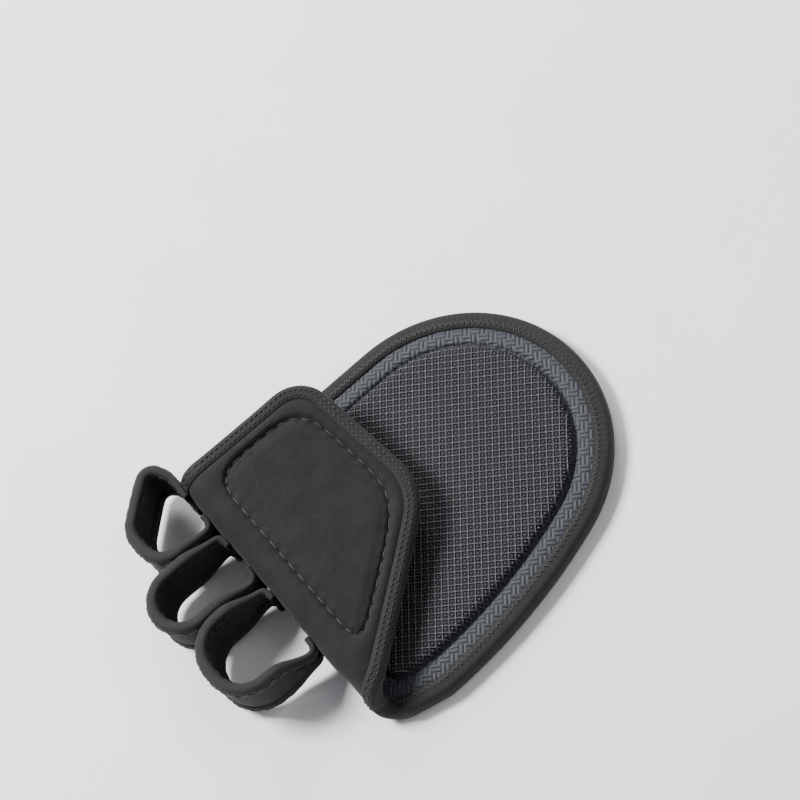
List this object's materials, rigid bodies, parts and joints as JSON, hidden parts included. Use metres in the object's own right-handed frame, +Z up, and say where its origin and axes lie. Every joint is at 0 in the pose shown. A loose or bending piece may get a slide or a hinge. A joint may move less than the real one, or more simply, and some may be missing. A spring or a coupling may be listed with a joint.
{
  "type": "hand grip with finger loops",
  "caption": "Padded neoprene palm grip, folded over at the finger roots, with a textured palm face, a fingertip flap and sewn loops for the fingers.",
  "frame": {"origin": "centre of the footprint, at the level of the palm half's skin face", "axes": "+X from the fold towards the wrist end, +Y to the thumb side, +Z up from the palm's skin to the grip face"},
  "size_m": [0.1184, 0.092, 0.0209],
  "materials": {
    "grip_rubber": "textured, satin",
    "neoprene": "matte",
    "foam": "matte",
    "lining_knit": "matte",
    "edge_tape": "matte",
    "loop_fabric": "matte",
    "loop_tape": "matte",
    "thread": "matte"
  },
  "bodies": {
    "palm": {"palm_edge_tape": "edge_tape", "palm_foam_core": "foam", "palm_fold_edge_tape": "edge_tape", "palm_fold_grip_sheet": "grip_rubber", "palm_fold_lining": "lining_knit", "palm_fold_neoprene": "neoprene", "palm_grip_sheet": "grip_rubber", "palm_lining": "lining_knit", "palm_neoprene": "neoprene", "palm_quilting_thread": "thread"},
    "band": {"band_edge_tape": "edge_tape", "band_grip_sheet": "grip_rubber", "band_lining": "lining_knit", "band_neoprene": "neoprene", "flap_fold_edge_tape": "edge_tape", "flap_fold_grip_sheet": "grip_rubber", "flap_fold_lining": "lining_knit", "flap_fold_neoprene": "neoprene", "index_loop_lower_tape": "loop_tape", "index_loop_strip": "loop_fabric", "index_loop_tacks": "thread", "index_loop_upper_tape": "loop_tape", "middle_loop_lower_tape": "loop_tape", "middle_loop_strip": "loop_fabric", "middle_loop_tacks": "thread", "middle_loop_upper_tape": "loop_tape", "ring_loop_lower_tape": "loop_tape", "ring_loop_strip": "loop_fabric", "ring_loop_tacks": "thread", "ring_loop_upper_tape": "loop_tape"},
    "flap": {"flap_edge_tape": "edge_tape", "flap_foam_core": "foam", "flap_grip_sheet": "grip_rubber", "flap_lining": "lining_knit", "flap_neoprene": "neoprene", "flap_quilting_thread": "thread"}
  },
  "joints": [
    {"name": "palm_fold", "type": "hinge", "parent": "palm", "child": "band", "pos_m": [-0.03081, -0.00962, 0.00309], "axis": [0, -1, 0], "range_deg": [0, 90], "deforming": ["palm_fold_edge_tape", "palm_fold_grip_sheet", "palm_fold_lining", "palm_fold_neoprene"]},
    {"name": "flap_fold", "type": "hinge", "parent": "band", "child": "flap", "pos_m": [-0.03071, -0.00994, 0.01313], "axis": [0, -0.9946, -0.1041], "range_deg": [0, 95], "deforming": ["flap_fold_edge_tape", "flap_fold_grip_sheet", "flap_fold_lining", "flap_fold_neoprene"]}
  ]
}
